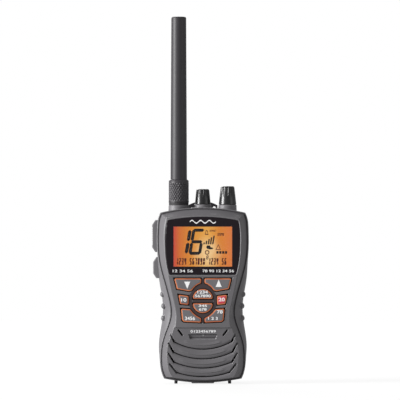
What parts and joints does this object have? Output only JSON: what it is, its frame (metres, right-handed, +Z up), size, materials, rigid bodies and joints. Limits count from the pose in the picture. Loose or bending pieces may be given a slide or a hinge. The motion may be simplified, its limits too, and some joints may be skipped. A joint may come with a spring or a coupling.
{
  "type": "vhf marine radio",
  "caption": "Handheld marine radio: waisted case, orange display, rimmed keys, louvred speaker grille, top knobs, screw-on antenna, side talk button, battery door and belt clip.",
  "frame": {"origin": "middle of the case's width on the standing plane, under the charging contact block", "axes": "+Z up along the antenna, -Y the way the display looks, +X to the right seen from the front"},
  "size_m": [0.0675, 0.0512, 0.256],
  "materials": {
    "front_grey": "fine satin texture",
    "rear_grey": "fine satin texture",
    "black_gloss": "polished",
    "clear_pane": "polished",
    "lcd_orange": "lit from behind",
    "light_guide": "satin",
    "key_grey": "satin with an orange rim",
    "key_red": "satin with an orange rim",
    "silicone_grey": "soft",
    "knob_black": "polished",
    "whip_charcoal": "satin",
    "grip_black": "satin",
    "rubber_black": "soft",
    "board_green": "lacquered",
    "connector_black": "matt",
    "tin_plate": "satin",
    "screw_steel": "satin",
    "spring_steel": "bright",
    "chassis_aluminium": "as cast",
    "cell_jacket": "printed jacket, here plain",
    "brass": "turned",
    "gold_plate": "plated",
    "foam_white": "closed-cell foam",
    "cone_paper": "treated paper",
    "mesh_black": "woven",
    "clip_black": "satin"
  },
  "bodies": {
    "radio": {"front_case": "front_grey", "rear_case": "rear_grey", "lens_border": "black_gloss", "lens_window": "clear_pane", "lcd_panel": "lcd_orange", "lcd_backlight": "light_guide", "keypad_mat": "silicone_grey", "display_board": "board_green", "board_connector": "connector_black", "radio_board": "board_green", "rf_shield": "tin_plate", "chassis": "chassis_aluminium", "float_block": "foam_white", "speaker_mesh": "mesh_black", "speaker_frame": "screw_steel", "speaker_cone": "cone_paper", "microphone": "screw_steel", "squelch_pot": "tin_plate", "volume_pot": "tin_plate", "shaft_seals": "rubber_black", "antenna_connector": "brass", "side_switches": "connector_black", "side_board": "board_green", "side_jack": "connector_black", "battery_cells": "cell_jacket", "contact_springs": "spring_steel", "contact_plates": "spring_steel", "case_seal": "rubber_black", "case_inserts": "brass", "case_screws": "screw_steel", "feet": "rubber_black", "contact_block": "connector_black", "charge_contacts": "gold_plate", "clip_bracket": "grip_black", "clip_pin": "screw_steel", "bracket_screws": "screw_steel"},
    "squelch_control": {"squelch_shaft": "screw_steel", "squelch_knob": "knob_black"},
    "volume_control": {"volume_shaft": "screw_steel", "volume_knob": "knob_black"},
    "antenna": {"antenna_ring": "rubber_black", "antenna_collar": "grip_black", "antenna_whip": "whip_charcoal", "antenna_rod": "brass"},
    "ptt_button": {"ptt_button": "grip_black"},
    "side_button": {"side_button": "grip_black"},
    "battery_door": {"battery_door": "rear_grey", "door_seal": "rubber_black"},
    "door_screw": {"door_screw": "screw_steel"},
    "belt_clip": {"belt_clip": "clip_black", "clip_spring": "spring_steel"},
    "jack_cover": {"jack_cover": "rubber_black"},
    "key_down": {"key_down": "key_grey"},
    "key_up": {"key_up": "key_grey"},
    "key_call": {"key_call": "key_grey"},
    "key_menu": {"key_menu": "key_grey"},
    "key_watch": {"key_watch": "key_grey"},
    "key_alert": {"key_alert": "key_red"},
    "key_scan": {"key_scan": "key_grey"},
    "key_power": {"key_power": "key_grey"}
  },
  "joints": [
    {"name": "key_down_press", "type": "slide", "parent": "radio", "child": "key_down", "axis": [0, 1, 0], "range_m": [0, 0.0006], "stiffness_N_per_m": 1500},
    {"name": "key_up_press", "type": "slide", "parent": "radio", "child": "key_up", "axis": [0, 1, 0], "range_m": [0, 0.0006], "stiffness_N_per_m": 1500},
    {"name": "key_call_press", "type": "slide", "parent": "radio", "child": "key_call", "axis": [0, 1, 0], "range_m": [0, 0.0006], "stiffness_N_per_m": 1500},
    {"name": "key_menu_press", "type": "slide", "parent": "radio", "child": "key_menu", "axis": [0, 1, 0], "range_m": [0, 0.0006], "stiffness_N_per_m": 1500},
    {"name": "key_watch_press", "type": "slide", "parent": "radio", "child": "key_watch", "axis": [0, 1, 0], "range_m": [0, 0.0006], "stiffness_N_per_m": 1500},
    {"name": "key_alert_press", "type": "slide", "parent": "radio", "child": "key_alert", "axis": [0, 1, 0], "range_m": [0, 0.0006], "stiffness_N_per_m": 1500},
    {"name": "key_scan_press", "type": "slide", "parent": "radio", "child": "key_scan", "axis": [0, 1, 0], "range_m": [0, 0.0006], "stiffness_N_per_m": 1500},
    {"name": "key_power_press", "type": "slide", "parent": "radio", "child": "key_power", "axis": [0, 1, 0], "range_m": [0, 0.0006], "stiffness_N_per_m": 1500},
    {"name": "ptt_press", "type": "slide", "parent": "radio", "child": "ptt_button", "axis": [1, 0, 0], "range_m": [0, 0.0012], "stiffness_N_per_m": 2000},
    {"name": "side_press", "type": "slide", "parent": "radio", "child": "side_button", "axis": [1, 0, 0], "range_m": [0, 0.001], "stiffness_N_per_m": 2000},
    {"name": "squelch_turn", "type": "hinge", "parent": "radio", "child": "squelch_control", "pos_m": [0, 0.002, 0.13], "axis": [0, 0, -1], "range_deg": [0, 280]},
    {"name": "volume_turn", "type": "hinge", "parent": "radio", "child": "volume_control", "pos_m": [0.0173, 0.002, 0.13], "axis": [0, 0, -1], "range_deg": [0, 280]},
    {"name": "antenna_screw", "type": "hinge", "parent": "radio", "child": "antenna", "pos_m": [-0.0168, 0.002, 0.13], "axis": [0, 0, 1], "range_deg": [0, 1440]},
    {"name": "door_hinge", "type": "hinge", "parent": "radio", "child": "battery_door", "pos_m": [0, 0.021, 0.0712], "axis": [1, 0, 0], "range_deg": [0, 75]},
    {"name": "door_screw_turn", "type": "hinge", "parent": "battery_door", "child": "door_screw", "pos_m": [0, 0.0205, 0.0103], "axis": [0, 1, 0], "range_deg": [0, 1080]},
    {"name": "clip_tilt", "type": "hinge", "parent": "radio", "child": "belt_clip", "pos_m": [0, 0.0248, 0.113], "axis": [1, 0, 0], "range_deg": [0, 14], "stiffness_Nm_per_rad": 0.3, "springref_deg": -8.59},
    {"name": "jack_cover_fold", "type": "hinge", "parent": "radio", "child": "jack_cover", "pos_m": [0.03215, 0.006, 0.093], "axis": [0, 0, 1], "range_deg": [0, 100], "stiffness_Nm_per_rad": 0.002}
  ]
}
